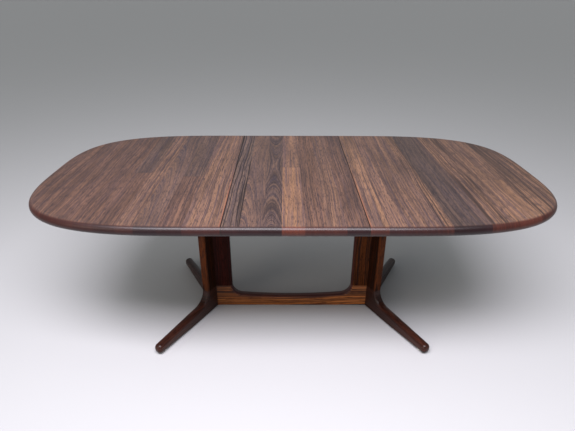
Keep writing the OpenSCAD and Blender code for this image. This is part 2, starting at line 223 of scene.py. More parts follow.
sky = bpy.data.worlds.new("pale_sky")
sky.use_nodes = True
sky.node_tree.nodes["Background"].inputs["Color"].default_value = (0.80, 0.86, 0.90, 1)
sky.node_tree.nodes["Background"].inputs["Strength"].default_value = 0.36
bpy.context.scene.world = sky
bpy.context.scene.view_settings.view_transform = "Standard"
print("four soft lights and a pale sky")

# %% [markdown]
# ## The figure of the wood
# A board is a slice of a log. Its lines are the growth rings, which are cylinders around
# the pith, cut by the face of the board. So the figure is worked out in three dimensions:
# the distance from a pith line gives the ring, and noise along that distance makes rings
# that differ, as years do. A pith far to one side gives straight lines, and a pith just
# under the face that drifts along the board gives nested arches. One group does this for
# every wood of the table, so the lines run true over the rounded edges. The rings of an
# arched board are crowded, because a pith under the face spreads them out.

# %% Wood group
def noise(tree, place, scale, detail, roughness=0.55):
    return add(tree, "ShaderNodeTexNoise", {"Vector": place, "Scale": scale, "Detail": detail,
        "Roughness": roughness}, normalize=True).outputs[0]


def mixed(tree, factor, first, second, blend="MIX"):
    made = add(tree, "ShaderNodeMix", {0: factor, 6: first, 7: second},
        data_type="RGBA", blend_type=blend)
    return made.outputs[2]


def stretched(tree, parts, across_scale, along_scale, shift):
    across, along, deep = parts
    return combined(tree, calc(tree, "MULTIPLY", across, across_scale),
        calc(tree, "MULTIPLY", along, along_scale), calc(tree, "MULTIPLY_ADD", deep, across_scale, shift))


# How far the pith of a straight board lies to the side, and that of an arched one below
pith_side, pith_below, pith_drift, pith_wander = 0.24, 0.034, 0.026, 0.035
# Noise cells per metre of distance from the pith
coarse_rings, fine_rings, streak_rings = 110, 300, 58
# How finely fibres, flecks and pores vary across and along a board
fibre_cells, fleck_cells, pore_cells = (60, 1.2), (300, 28), (1500, 70)


def make_wood_group():
    tree, given, result = new_tree("wood_figure", "ShaderNodeTree", (
        ("INPUT", "Vector", "Place"), ("INPUT", "Color", "Tint"), ("INPUT", "Color", "Dark"),
        ("INPUT", "Color", "Deep"), ("INPUT", "Float", "Streaks"), ("INPUT", "Float", "Arches"),
        ("INPUT", "Float", "Seed"), ("OUTPUT", "Color", "Color"), ("OUTPUT", "Float", "Height")))
    parts = add(tree, "ShaderNodeSeparateXYZ", [given["Place"]]).outputs
    across, along, deep = parts
    shift = calc(tree, "MULTIPLY", given["Seed"], 9.7)
    slow = combined(tree, calc(tree, "ADD", across, shift), calc(tree, "MULTIPLY", along, 0.55), deep)
    wander = calc(tree, "SUBTRACT", noise(tree, slow, 3.2, 2), 0.5)
    # Distance from the pith, which drifts along the board
    straight = calc(tree, "SUBTRACT", 1.0, given["Arches"])
    side = calc(tree, "ADD", across, calc(tree, "MULTIPLY", straight, pith_side))
    side = calc(tree, "ADD", side, calc(tree, "MULTIPLY", wander, pith_wander))
    drift = calc(tree, "SINE", calc(tree, "MULTIPLY_ADD", along, 3.1, shift))
    under = calc(tree, "ADD", deep, calc(tree, "MULTIPLY_ADD", drift, pith_drift, pith_below))
    distance = calc(tree, "SQRT", calc(tree, "ADD", calc(tree, "MULTIPLY", side, side),
        calc(tree, "MULTIPLY", under, under)))
    # Rings, coarse and fine, and the dark streaks
    crowding = calc(tree, "MULTIPLY_ADD", given["Arches"], 3.4, 1.0)
    ring_place = combined(tree, calc(tree, "MULTIPLY_ADD", distance, crowding, shift),
        calc(tree, "MULTIPLY", along, 0.009), given["Seed"])
    coarse = noise(tree, ring_place, coarse_rings, 3)
    fine = noise(tree, ring_place, fine_rings, 2)
    streak_noise = noise(tree, ring_place, streak_rings, 1)
    ridge = calc(tree, "ABSOLUTE", calc(tree, "MULTIPLY_ADD", streak_noise, 2, -1))
    streak = calc(tree, "MULTIPLY", smooth(tree, ridge, 0.17, 0.03), given["Streaks"])
    # Fibres, flecks and pores run along the board
    fibre = noise(tree, stretched(tree, parts, *fibre_cells, shift), 9, 3, 0.7)
    pores = smooth(tree, noise(tree, stretched(tree, parts, *pore_cells, 0.0), 1, 1), 0.66, 0.72)
    flecks = smooth(tree, noise(tree, stretched(tree, parts, *fleck_cells, shift), 1, 3, 0.7), 0.50, 0.64)
    cloud = noise(tree, combined(tree, calc(tree, "MULTIPLY_ADD", across, 2.2, shift),
        calc(tree, "MULTIPLY", along, 0.8), deep), 4.5, 3)
    # Rings and fibres pick between the dark and the light tone, then the marks go on top
    tone = calc(tree, "ADD", calc(tree, "MULTIPLY", coarse, 0.34), calc(tree, "MULTIPLY", fine, 0.36))
    tone = calc(tree, "ADD", tone, calc(tree, "MULTIPLY", fibre, 0.30))
    colour = mixed(tree, smooth(tree, tone, 0.41, 0.57), given["Dark"], given["Tint"])
    lift = smooth(tree, cloud, 0.25, 0.75, 0.78, 1.24)
    colour = scaled(tree, colour, lift)
    colour = mixed(tree, streak, colour, given["Deep"])
    colour = mixed(tree, calc(tree, "MULTIPLY", flecks, 0.85), colour, scaled(tree, given["Dark"], 0.5))
    colour = mixed(tree, calc(tree, "MULTIPLY", pores, 0.35), colour, given["Deep"])
    tree.links.new(colour, result["Color"])
    height = calc(tree, "SUBTRACT", calc(tree, "MULTIPLY", fibre, 0.5), pores)
    tree.links.new(height, result["Height"])
    return tree


wood_group = make_wood_group()
print("the wood group has", len(wood_group.nodes), "nodes")

# %% [markdown]
# ## Lacquered boards of one colour
# Posts, feet and the U frame are each one board under a satin lacquer. The figure reads an
# attribute called grain, which holds each point's place in the board itself, so the lines
# follow the board however it is turned in the table. The outer end of a post is painted
# three times lighter than its sides: painted light on the end that faces the lamps, and
# painted shade on the dark sides in the recess between the boards. Where a board of the
# frame turns away from its front, a painted plum sheen darkens its colour.

# %% Finish of a board
def lacquer(tree, shader, figure, rough_low, rough_high, bump, gloss):
    shader.inputs["Specular IOR Level"].default_value = gloss
    tree.links.new(figure.outputs["Color"], shader.inputs["Base Color"])
    rough = smooth(tree, figure.outputs["Height"], -0.6, 0.5, rough_high, rough_low)
    tree.links.new(rough, shader.inputs["Roughness"])
    relief = add(tree, "ShaderNodeBump", {"Strength": bump, "Distance": 0.0006,
        "Height": figure.outputs["Height"]})
    tree.links.new(relief.outputs[0], shader.inputs["Normal"])


def wood_figure(tree, place, tint, dark, deep, streaks, arches, seed):
    figure = tree.nodes.new("ShaderNodeGroup")
    figure.node_tree = wood_group
    for label, value in (("Place", place), ("Tint", tint), ("Dark", dark), ("Deep", deep),
            ("Streaks", streaks), ("Arches", arches), ("Seed", seed)):
        if isinstance(value, bpy.types.NodeSocket):
            tree.links.new(value, figure.inputs[label])
        else:
            figure.inputs[label].default_value = value
    return figure


black_brown = (0.012, 0.006, 0.005, 1)
painted_plum_sheen = (0.050, 0.017, 0.018, 1)


def board_wood(name, tint, dark, streaks, arches, seed, painted_light_from=None, gloss=0.18, plum=0.0, size=1.0,
        coat=0.0):
    material, tree, shader = new_material(name)
    grain = add(tree, "ShaderNodeAttribute", attribute_name="grain").outputs["Vector"]
    tones = [(*tint, 1), (*dark, 1)]
    # Painted light: the outer end of a post is painted up to three times lighter than its sides, which stay
    # dark as painted shade
    if painted_light_from:
        across = add(tree, "ShaderNodeSeparateXYZ", [grain]).outputs[0]
        painted_end_light = smooth(tree, across, painted_light_from - 0.006, painted_light_from + 0.003, 1.0, 3.0)
        tones = [scaled(tree, tone[:3], painted_end_light) for tone in tones]
    figure = wood_figure(tree, scaled(tree, grain, size), *tones, black_brown, streaks, arches, seed)
    lacquer(tree, shader, figure, 0.30, 0.42, 0.25, gloss)
    shader.inputs["Coat Weight"].default_value = coat
    shader.inputs["Coat Roughness"].default_value = 0.2
    # Painted sheen and shade: where a board turns away from its front, a dark plum sheen is painted over its
    # colour, in the share given by plum
    if plum:
        normal = add(tree, "ShaderNodeNewGeometry").outputs["Normal"]
        facing = add(tree, "ShaderNodeSeparateXYZ", [normal]).outputs[1]
        share = smooth(tree, calc(tree, "ABSOLUTE", facing), 0.98, 0.75, 0.0, plum)
        colour = mixed(tree, share, figure.outputs["Color"], painted_plum_sheen)
        tree.links.new(colour, shader.inputs["Base Color"])
    return material


# Where the painted light on the outer end of a post begins
painted_light_start = 0.064
post_wood = board_wood("lacquered_post_wood", (0.042, 0.0098, 0.0016), (0.012, 0.0034, 0.0012),
    1.0, 0.3, 0.31, painted_light_from=painted_light_start, gloss=0.05)
foot_wood = board_wood("lacquered_foot_wood", (0.052, 0.0155, 0.009), (0.017, 0.0055, 0.004),
    0.4, 0.3, 0.57, gloss=0.10, coat=0.2)
# plum sets the share of painted plum sheen and shade on the rounded edges that turn away from the front
frame_wood = board_wood("lacquered_frame_wood", (0.395, 0.131, 0.035), (0.130, 0.039, 0.013),
    0.9, 0.8, 0.83, plum=0.85, size=0.4)
left_upright_wood = board_wood("dark_upright_wood", (0.036, 0.005, 0.003), (0.013, 0.002, 0.001),
    0.3, 0.1, 0.12, gloss=0.03, plum=0.4)
right_upright_wood = board_wood("brown_upright_wood", (0.098, 0.025, 0.004), (0.022, 0.005, 0.001),
    0.8, 0.1, 0.44, gloss=0.04, plum=0.6)
print("five woods for the base")

# %% [markdown]
# ## The staves of the top
# The top is glued up from boards about as wide as a hand, and no two have the same figure.
# Each slab lists its boards from left to right: a width, a look, and for a board that is pieced
# from two, the place of the joint and the look behind it. Colour ramps with constant steps
# turn the place across the slab into the colour and character of the board there.

# %% Looks of single boards
# Each look has a light tone, a dark tone, the share of streaks and how arched it is
looks = {
    "tan": ((0.181, 0.093, 0.050), (0.092, 0.053, 0.048), 0.15, 0.00),
    "honey": ((0.179, 0.094, 0.052), (0.075, 0.044, 0.040), 0.30, 0.00),
    "light": ((0.160, 0.085, 0.052), (0.064, 0.038, 0.038), 0.35, 0.10),
    "warm": ((0.144, 0.077, 0.048), (0.055, 0.033, 0.034), 0.30, 0.10),
    "brown": ((0.118, 0.061, 0.040), (0.045, 0.027, 0.028), 0.35, 0.20),
    "mauve": ((0.111, 0.062, 0.043), (0.044, 0.029, 0.032), 0.15, 0.85),
    "arched": ((0.100, 0.058, 0.042), (0.035, 0.023, 0.027), 0.45, 1.00),
    "dark": ((0.104, 0.060, 0.042), (0.040, 0.026, 0.030), 0.35, 0.30),
    "plum": ((0.076, 0.046, 0.034), (0.026, 0.018, 0.022), 0.35, 0.50),
    "striped": ((0.109, 0.067, 0.049), (0.040, 0.027, 0.032), 0.95, 0.10),
    "lined": ((0.155, 0.082, 0.048), (0.049, 0.029, 0.028), 0.70, 0.00),
}
print(len(looks), "looks")

# %% Stave material
glue_line = (0.02, 0.01, 0.008, 1)
warm_band_tone = (0.28, 0.095, 0.050, 1)
plum_edge = (0.14, 0.09, 0.14, 1)
warm_edge = (0.50, 0.23, 0.20, 1)
second_piece_shift = 0.37


def step_ramp(tree, position, steps):
    made = add(tree, "ShaderNodeValToRGB", [position])
    ramp = made.color_ramp
    ramp.interpolation = "CONSTANT"
    while len(ramp.elements) < len(steps):
        ramp.elements.new(1.0)
    for element, (place, colour) in zip(ramp.elements, steps):
        element.position = place
        element.color = colour
    return made.outputs


def stave_wood(name, start, boards, seed, seams, seam_warmth):
    chance = random.Random(seed)
    total = sum(board[0] for board in boards)
    steps = {"front": [], "back": [], "dark_front": [], "dark_back": [], "kind": [], "place": []}
    edge = 0.0
    for width, look, *joint in boards:
        tint, dark, streaks, arches = looks[look]
        joint_y, back_look = joint or (half_width, look)
        back_tint, back_dark = looks[back_look][:2]
        at = edge / total
        steps["front"].append((at, (*tint, 1)))
        steps["back"].append((at, (*back_tint, 1)))
        steps["dark_front"].append((at, (*dark, 1)))
        steps["dark_back"].append((at, (*back_dark, 1)))
        steps["kind"].append((at, (streaks, arches, chance.random(), joint_y / 2 / half_width + 0.5)))
        steps["place"].append((at, ((edge + width / 2) / total, 0, 0, 1)))
        edge += width
    material, tree, shader = new_material(name)
    place = add(tree, "ShaderNodeTexCoord").outputs["Object"]
    x, y, z = add(tree, "ShaderNodeSeparateXYZ", [place]).outputs
    position = calc(tree, "DIVIDE", calc(tree, "SUBTRACT", x, start), total)
    ramps = {key: step_ramp(tree, position, steps[key]) for key in steps}
    # The kind ramp carries streaks, arches and chance as a colour, and the joint as its alpha
    streaks, arches, chance_value = add(tree, "ShaderNodeSeparateColor", [ramps["kind"][0]]).outputs
    middle = add(tree, "ShaderNodeSeparateColor", [ramps["place"][0]]).outputs[0]
    from_middle = calc(tree, "MULTIPLY", calc(tree, "SUBTRACT", position, middle), total)
    joint_y = calc(tree, "MULTIPLY", calc(tree, "SUBTRACT", ramps["kind"][1], 0.5), 2 * half_width)
    behind = calc(tree, "GREATER_THAN", y, joint_y)
    board_seed = calc(tree, "ADD", chance_value, calc(tree, "MULTIPLY", behind, second_piece_shift))
    tint = mixed(tree, behind, ramps["front"][0], ramps["back"][0])
    dark = mixed(tree, behind, ramps["dark_front"][0], ramps["dark_back"][0])
    inside = combined(tree, from_middle, y, calc(tree, "SUBTRACT", z, slab_middle))
    figure = wood_figure(tree, inside, tint, dark, black_brown, streaks, arches, board_seed)
    colour = figure.outputs["Color"]
    # A fine dark line where a board is pieced
    joint_line = smooth(tree, calc(tree, "ABSOLUTE", calc(tree, "SUBTRACT", y, joint_y)), 0.0011, 0.0004)
    colour = mixed(tree, calc(tree, "MULTIPLY", joint_line, 0.7), colour, glue_line)
    # Beside a seam a half top goes to a warmer colour, more so towards the front
    warm_front_share = calc(tree, "MULTIPLY", smooth(tree, y, 0.12, -0.30), seam_warmth)
    sawn = [calc(tree, "ABSOLUTE", calc(tree, "SUBTRACT", x, seam)) for seam in seams]
    for away in sawn:
        warm_band = calc(tree, "MULTIPLY", smooth(tree, away, 0.010, 0.001), warm_front_share)
        colour = mixed(tree, warm_band, colour, warm_band_tone)
    # The rounded edge is plainer and darker, most of all at end grain, and from board to
    # board it goes from plum to a warm red
    normal = add(tree, "ShaderNodeNewGeometry").outputs["Normal"]
    facing, upward = [calc(tree, "ABSOLUTE", part)
        for part in add(tree, "ShaderNodeSeparateXYZ", [normal]).outputs[1:]]
    end_grain = smooth(tree, facing, 0.04, 0.55)
    edge_turn = smooth(tree, upward, 0.99, 0.75, 0.0, 0.8)
    edge_share = calc(tree, "MAXIMUM", end_grain, edge_turn)
    plain = mixed(tree, 0.5, tint, dark)
    colour = mixed(tree, calc(tree, "MULTIPLY", edge_share, 0.65), colour, plain)
    edge_tone = mixed(tree, chance_value, plum_edge, warm_edge)
    colour = mixed(tree, edge_share, colour, edge_tone, "MULTIPLY")
    # The very arris of a seam is dark, all the way round the edge
    for away in sawn:
        arris_line = smooth(tree, away, 0.0030, 0.0014, 0.0, 0.85)
        colour = mixed(tree, arris_line, colour, black_brown)
    lacquer(tree, shader, figure, 0.42, 0.54, 0.20, 0.3)
    polished_edge = smooth(tree, upward, 0.995, 0.9, 0.48, 0.36)
    tree.links.new(polished_edge, shader.inputs["Roughness"])
    tree.links.new(colour, shader.inputs["Base Color"])
    return material


leaf_boards = [(0.061, "striped"), (0.0765, "mauve"), (0.0675, "arched"),
    (0.077, "tan", 0.039, "light"), (0.073, "brown"), (0.0675, "warm"), (0.0775, "brown")]
right_boards = [(0.062, "honey"), (0.060, "light"), (0.120, "warm"), (0.0375, "lined"),
    (0.107, "plum"), (0.028, "dark"), (0.105, "lined"), (0.0975, "honey", -0.10, "lined"),
    (0.1676, "lined")]
left_boards = [(0.1371, "brown"), (0.1425, "brown"), (0.0755, "brown"), (0.075, "brown", -0.03, "dark"),
    (0.062, "warm"), (0.0805, "mauve"), (0.0825, "brown", -0.07, "dark"), (0.1299, "light")]
leaf_x = leaf_box[1].x
seam_warmth = 0.45
leaf_wood = stave_wood("leaf_stave_wood", -leaf_x, leaf_boards, 16564, (-leaf_x, leaf_x), 0.0)
right_wood = stave_wood("right_stave_wood", seam_x, right_boards, 11592, (seam_x,), seam_warmth)
left_wood = stave_wood("left_stave_wood", -tip_x, left_boards, 4803, (-seam_x,), seam_warmth)
print("staves:", len(left_boards), "left,", len(leaf_boards), "in the leaf,", len(right_boards), "right")

# %% [markdown]
# ## One rule for every shaped board
# Slabs, posts, feet and the stretcher are all flat boards whose edges a router has rounded.
# They could each be modelled by hand, but one rule makes them all. A Geometry Nodes tree
# wraps a grid around an outline: columns follow the outline, and rows climb its edge, turn
# over the rounding and end on the flat face. Each point of the outline carries the radius
# of its edge and how far the rounding moves it inwards, so one board may be crisp at a
# joint and soft at its nose. A point vector draws the middle of an end out to a mitre, and
# an ease vector pulls in the last of the rounding, which just breaks the arris of a seam.

# %% Rounded board tree
touching = 0.00001


def sample(tree, outline, column, name):
    value = add(tree, "GeometryNodeInputNamedAttribute", {"Name": name}, data_type="FLOAT_VECTOR")
    return add(tree, "GeometryNodeSampleIndex", {"Geometry": outline, "Value": value.outputs[0],
        "Index": column}, data_type="FLOAT_VECTOR").outputs[0]


def board_place(tree, outline, column, side, turn, inset, half):
    radius = add(tree, "ShaderNodeSeparateXYZ", [sample(tree, outline, column, "radius")]).outputs[0]
    sunk = calc(tree, "SUBTRACT", 1.0, calc(tree, "COSINE", turn))
    rise = calc(tree, "SUBTRACT", half, calc(tree, "MULTIPLY", radius,
        calc(tree, "SUBTRACT", 1.0, calc(tree, "SINE", turn))))
    climb = calc(tree, "MULTIPLY", side, rise)
    pointed = calc(tree, "SUBTRACT", 1.0, calc(tree, "DIVIDE", calc(tree, "ABSOLUTE", climb), half))
    place = sample(tree, outline, column, "corner")
    for name, amount in (("slide", sunk), ("inward", inset), ("ease", calc(tree, "POWER", sunk, 6.0)),
            ("point", pointed)):
        place = vector_calc(tree, "ADD", place, scaled(tree, sample(tree, outline, column, name), amount))
    return vector_calc(tree, "ADD", place, combined(tree, 0, 0, climb))


def make_board_tree():
    tree, given, result = new_tree("rounded_board", "GeometryNodeTree", (
        ("INPUT", "Geometry", "Outline"), ("INPUT", "Float", "Thickness"), ("INPUT", "Int", "Steps"),
        ("INPUT", "Float", "Rim"), ("INPUT", "Material", "Wood"), ("OUTPUT", "Geometry", "Board")))
    outline = given["Outline"]
    count = add(tree, "GeometryNodeAttributeDomainSize", [outline]).outputs["Point Count"]
    half = calc(tree, "DIVIDE", given["Thickness"], 2.0)
    rows = calc(tree, "MULTIPLY_ADD", given["Steps"], 2.0, 5.0)
    grid = add(tree, "GeometryNodeMeshGrid", {"Size X": count, "Size Y": calc(tree, "SUBTRACT", rows, 1.0),
        "Vertices X": calc(tree, "ADD", count, 1.0), "Vertices Y": rows}).outputs["Mesh"]
    spot = add(tree, "ShaderNodeSeparateXYZ",
        [add(tree, "GeometryNodeInputPosition").outputs[0]]).outputs
    column = calc(tree, "ROUND", calc(tree, "MULTIPLY_ADD", count, 0.5, spot[0]))
    column = calc(tree, "MODULO", column, count)
    row = calc(tree, "ROUND", spot[1])
    step = calc(tree, "MAXIMUM", calc(tree, "SUBTRACT", calc(tree, "ABSOLUTE", row), 1.0), 0.0)
    share = calc(tree, "MINIMUM", calc(tree, "DIVIDE", step, given["Steps"]), 1.0)
    turn = calc(tree, "MULTIPLY", share, math.pi / 2)
    on_face = calc(tree, "GREATER_THAN", step, calc(tree, "ADD", given["Steps"], 0.5))
    inset = calc(tree, "MULTIPLY", on_face, given["Rim"])
    walls = add(tree, "GeometryNodeSetPosition", {"Geometry": grid, "Position": board_place(
        tree, outline, column, calc(tree, "SIGN", row), turn, inset, half)}).outputs[0]
    joined = add(tree, "GeometryNodeJoinGeometry")
    tree.links.new(walls, joined.inputs[0])
    index = add(tree, "GeometryNodeInputIndex").outputs[0]
    for side in (-1.0, 1.0):
        face = add(tree, "GeometryNodeMeshCircle", {"Vertices": count}, fill_type="NGON").outputs[0]
        face = add(tree, "GeometryNodeSetPosition", {"Geometry": face, "Position": board_place(
            tree, outline, index, side, math.pi / 2, given["Rim"], half)}).outputs[0]
        if side < 0:
            face = add(tree, "GeometryNodeFlipFaces", [face]).outputs[0]
        tree.links.new(face, joined.inputs[0])
    board = add(tree, "GeometryNodeMergeByDistance", {"Geometry": joined.outputs[0],
        "Distance": touching}).outputs[0]
    board = add(tree, "GeometryNodeSetShadeSmooth", [board]).outputs[0]
    board = add(tree, "GeometryNodeRealizeInstances", [board]).outputs[0]
    board = add(tree, "GeometryNodeSetMaterial", {"Geometry": board, "Material": given["Wood"]}).outputs[0]
    tree.links.new(board, result["Board"])
    return tree


board_tree = make_board_tree()
print("the board tree has", len(board_tree.nodes), "nodes")

# %% [markdown]
# ## From a tree to a plain mesh
# A modifier's inputs are set by the identifier of each socket. Then the evaluated result is
# copied to a plain mesh and the modifier goes, so that the piece holds real geometry.

# %% Bake a tree
def bake(piece, tree, values):
    keys = {item.name: item.identifier for item in tree.interface.items_tree
        if item.item_type == "SOCKET" and item.in_out == "INPUT"}
    modifier = piece.modifiers.new("nodes", "NODES")
    modifier.node_group = tree
    for name, value in values.items():
        modifier[keys[name]] = value
    bpy.context.scene.collection.objects.link(piece)
    bpy.context.view_layer.update()
    graph = bpy.context.evaluated_depsgraph_get()
    made = bpy.data.meshes.new_from_object(piece.evaluated_get(graph))
    piece.modifiers.clear()
    piece.data = made
    made.name = piece.name
    return piece


def put(piece, body, slot, *stands_for):
    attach(piece, body)
    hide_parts(*stands_for)


print("ready to bake")

# %% [markdown]
# ## Outlines
# An outline is a list of corners, counter-clockwise, with the radius of the rounded edge
# that starts at each corner. Where two straight edges meet, the rounding has to move the
# corner by the right amount from both edges, which is two equations for two unknowns. On a
# curve the two edges are almost in line, and the corner simply moves inwards.

# %% Outline helper
rim = 0.0006
curve_turn = math.radians(25)
sharp_turn = math.radians(35)


def inward_slides(corners, radii):
    slides, rounds = [], []
    for i, here in enumerate(corners):
        before = (here - corners[i - 1]).normalized()
        after = (corners[(i + 1) % len(corners)] - here).normalized()
        first = Vector((-before.y, before.x))
        second = Vector((-after.y, after.x))
        if before.angle(after) < curve_turn:
            middle = (first + second).normalized()
            radius = (radii[i - 1] + radii[i]) / 2
            slides.append(middle * radius / middle.dot(first))
        else:
            radius = max(radii[i - 1], radii[i])
            slides.append(Vector(np.linalg.solve([first, second], [radii[i - 1], radii[i]])))
        rounds.append(radius)
    return slides, rounds


def arc(centre, radius, start, end, steps):
    turns = [math.radians(start + (end - start) * i / steps) for i in range(steps + 1)]
    return [Vector((centre[0] + radius * math.cos(a), centre[1] + radius * math.sin(a))) for a in turns]


def turn_outwards(mesh):
    shell = bmesh.new()
    shell.from_mesh(mesh)
    bmesh.ops.recalc_face_normals(shell, faces=shell.faces)
    shell.to_mesh(mesh)
    shell.free()


def make_board(name, corners, radii, thick, place, wood, points=None, eases=None, along=0, steps=9):
    slides, rounds = inward_slides(corners, radii)
    none = [Vector((0, 0))] * len(corners)
    mesh = bpy.data.meshes.new(name)
    mesh.from_pydata([c.to_3d() for c in corners], [], [])
    inward = inward_slides(corners, [1] * len(corners))[0]
    carried = {"corner": corners, "slide": slides, "radius": [Vector((r, 0)) for r in rounds],
        "inward": inward, "point": points or none, "ease": eases or none}
    for key, vectors in carried.items():
        attribute = mesh.attributes.new(key, "FLOAT_VECTOR", "POINT")
        attribute.data.foreach_set("vector", np.array([v.to_3d() for v in vectors], np.float32).ravel())
    board = bake(bpy.data.objects.new(name, mesh), board_tree,
        {"Thickness": thick, "Steps": steps, "Rim": rim, "Wood": wood})
    made = board.data
    turn_outwards(made)
    own = np.zeros(len(made.vertices) * 3, np.float32)
    made.vertices.foreach_get("co", own)
    own = own.reshape(-1, 3)
    grain = np.stack([own[:, 1 - along], own[:, along], own[:, 2]], axis=1)
    made.attributes.new("grain", "FLOAT_VECTOR", "POINT").data.foreach_set("vector", grain.ravel())
    made.set_sharp_from_angle(angle=sharp_turn)
    made.transform(place)
    print(name, len(made.vertices), "points", len(made.polygons), "faces")
    return board


print("outline helper ready")

# %% [markdown]
# ## The three slabs of the top
# Each half top has straight sides for a thumb's breadth, then one continuous squarish curve
# round its end. That curve is a superellipse: an ellipse with a power above two, which is
# what gives the end its full shoulders. The edge is a full half round, except at the seams,
# which are sawn square with their arrises just broken.

# %% Slabs
def half_outline(steps=220):
    curve_x = seam_x + seam_to_curve
    length = tip_x - curve_x
    corners = [Vector((seam_x, -half_width))]
    for i in range(steps + 1):
        a = math.pi * i / steps - math.pi / 2
        reach = ((abs(math.cos(a)) / length) ** end_power
            + (abs(math.sin(a)) / half_width) ** end_power) ** (-1 / end_power)
        corners.append(Vector((curve_x + reach * math.cos(a), reach * math.sin(a))))
    corners.append(Vector((seam_x, half_width)))
    return corners


arris = 0.0012
level_place = Matrix.Translation((0, 0, slab_middle))
half_corners = half_outline()
half_radii = [thickness / 2] * (len(half_corners) - 1) + [0]
half_eases = [Vector((arris, 0)) if c.x == seam_x else Vector((0, 0)) for c in half_corners]
right_slab = make_board("right_slab", half_corners, half_radii, thickness, level_place, right_wood,
    eases=half_eases)
left_slab = make_board("left_slab", [-c for c in half_corners], half_radii, thickness, level_place,
    left_wood, eases=[-e for e in half_eases])

leaf_corners = [Vector((x, y)) for x, y in ((-leaf_x, -half_width), (leaf_x, -half_width),
    (leaf_x, half_width), (-leaf_x, half_width))]
leaf_eases = [Vector((-math.copysign(arris, c.x), 0)) for c in leaf_corners]
leaf_slab = make_board("leaf_slab", leaf_corners, [thickness / 2, 0, thickness / 2, 0], thickness,
    level_place, leaf_wood, eases=leaf_eases)

put(right_slab, "right_half", "top_wood", "right_half_top")
put(left_slab, "left_half", "top_wood", "left_half_top")
put(leaf_slab, "loose_leaf", "leaf_wood", "leaf")

# %% [markdown]
# ## Posts and uprights
# On each pedestal two leg posts and one upright meet like a three-pointed star. Their inner
# ends are mitred to 120 degrees, so no gap shows between them. They stand on end: the
# outline is drawn outwards from the pedestal's centre and upwards, and the plane is then
# turned to its direction.

# %% Posts and uprights
def standing(centre_x, degrees):
    a = math.radians(degrees)
    out = Vector((math.cos(a), math.sin(a), 0))
    turn = Matrix((out, Vector((0, 0, 1)), out.cross(Vector((0, 0, 1))))).transposed().to_4x4()
    return Matrix.Translation((centre_x, 0, 0)) @ turn


def member_board(name, reach, low, radius, place, wood):
    corners = [Vector(c) for c in ((mitre, low), (reach, low), (reach, bearer_under), (mitre, bearer_under))]
    inwards, nothing = Vector((-mitre, 0)), Vector((0, 0))
    return make_board(name, corners, [0, radius, 0, 0], member, place, wood,
        points=[inwards, nothing, nothing, inwards], along=1)


legs = {"right_front": (axis_x, -60), "right_back": (axis_x, 60), "left_front": (-axis_x, -120),
    "left_back": (-axis_x, 120)}
post_radius = 0.009
upright_radius = 0.013
for leg, (centre_x, degrees) in legs.items():
    board = member_board(leg + "_post_board", post_reach, post_foot, post_radius,
        standing(centre_x, degrees), post_wood)
    put(board, "base", "post_wood", leg + "_post")
upright_reach = axis_x - inner_x
uprights = (("right", axis_x, 180, right_upright_wood), ("left", -axis_x, 0, left_upright_wood))
for side, centre_x, degrees, wood in uprights:
    board = member_board(side + "_upright_board", upright_reach, upright_foot, upright_radius,
        standing(centre_x, degrees), wood)
    put(board, "base", "frame_wood", side + "_upright")

# %% [markdown]
# ## Feet
# A foot is one piece from under its post out to its nose. Its upper edge sweeps down from
# the post in a knee and falls gently to the tip. The rounding starts as small as the post's
# and grows along the foot until the nose is almost a ball, while the lower edge is crisp
# under the pedestal. So the radius of each edge is worked out from how far out it lies.

# %% Feet
foot_fall = math.atan2(foot_root_height - foot_tip_height, foot_reach - post_reach)
knee_centre = (post_reach + knee_radius, post_foot)
tip_top = floor_gap + foot_tip_height
under_radius, foot_back_radius, foot_tip_radius = 0.002, 0.0155, 0.0175
under_softens, back_softened, tip_softens = 0.12, 0.16, 0.20
nose_low = (foot_reach - nose_radius, floor_gap + nose_radius)
nose_high = (foot_reach - nose_radius, tip_top - nose_radius + nose_radius * math.tan(foot_fall))
fall_degrees = math.degrees(foot_fall)


def between(value, low, high):
    share = min(max((value - low) / (high - low), 0), 1)
    return share * share * (3 - 2 * share)


def foot_outline():
    under = [Vector((mitre + (nose_low[0] - mitre) * i / 12, floor_gap)) for i in range(12)]
    over_start = Vector((nose_high[0] + nose_radius * math.sin(foot_fall),
        nose_high[1] + nose_radius * math.cos(foot_fall)))
    over_end = Vector((knee_centre[0] - knee_radius * math.sin(foot_fall),
        knee_centre[1] - knee_radius * math.cos(foot_fall)))
    nose = arc(nose_low, nose_radius, -90, 0, 12)
    brow = arc(nose_high, nose_radius, 0, 90 - fall_degrees, 12)
    over = [over_start.lerp(over_end, i / 12) for i in range(1, 12)]
    knee = arc(knee_centre, knee_radius, 270 - fall_degrees, 180, 24)
    lower = under + nose
    upper = brow + over + knee
    radii = [under_radius + (foot_tip_radius - under_radius) * between(c.x, under_softens, nose_low[0])
        for c in lower]
    radii += [post_radius + (foot_back_radius - post_radius) * between(c.x, post_reach, back_softened)
        + (foot_tip_radius - foot_back_radius) * between(c.x, tip_softens, nose_low[0])
        for c in upper[:-1]]
    radii += [0, 0]
    return lower + upper + [Vector((mitre, post_foot))], radii


foot_corners, foot_radii = foot_outline()
foot_points = [Vector((-mitre, 0)) if abs(c.x - mitre) < 1e-6 else Vector((0, 0)) for c in foot_corners]
for leg, (centre_x, degrees) in legs.items():
    board = make_board(leg + "_foot_board", foot_corners, foot_radii, member, standing(centre_x, degrees),
        foot_wood, points=foot_points, steps=10)
    put(board, "base", "foot_wood", leg + "_foot")

# %% [markdown]
# ## Stretcher
# The stretcher is one long board on edge. Its top is a very flat hollow that turns up into
# the uprights through a quarter circle at each end, so that the frame reads as a letter U.
# Its upper edges are softly rounded and its lower ones only broken.

